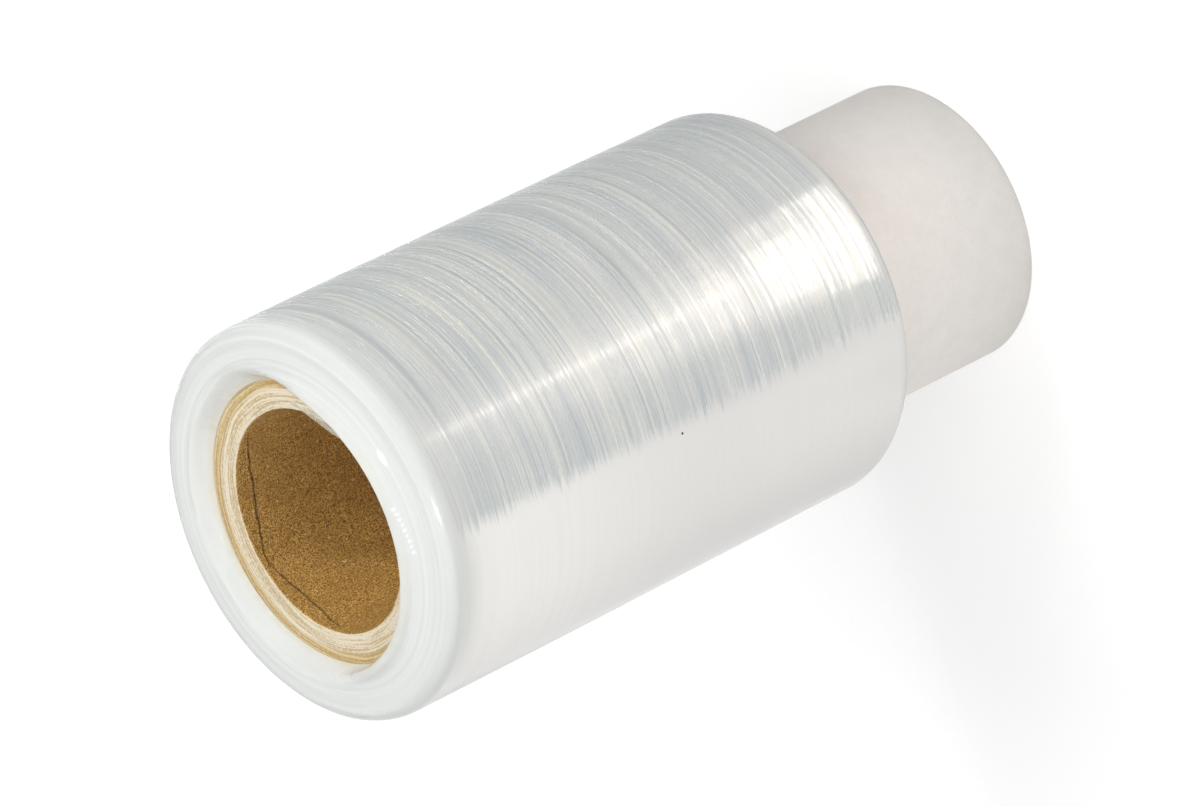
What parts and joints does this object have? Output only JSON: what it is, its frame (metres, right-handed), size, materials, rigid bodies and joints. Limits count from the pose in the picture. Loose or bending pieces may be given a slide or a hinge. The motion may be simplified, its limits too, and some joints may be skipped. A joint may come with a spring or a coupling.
{
  "type": "stretch wrap roll",
  "caption": "Hand roll of clear stretch wrap film wound on a cardboard tube, with the tube's bare end left long as a grip.",
  "frame": {"origin": "centre of the grip's cut end, which the roll stands on", "axes": "+Z along the tube, from the bare grip up to the film end whose tube sits below the film's end face"},
  "size_m": [0.0664, 0.0664, 0.1414],
  "materials": {
    "kraft_board": "wound paper board, pale warm grey outside, brown kraft in the bore, matte",
    "clear_film": "clear polyethylene stretch film, milky and grey in bulk, glossy"
  },
  "bodies": {
    "root": {"core_tube": "kraft_board", "film_roll": "clear_film"}
  },
  "joints": []
}
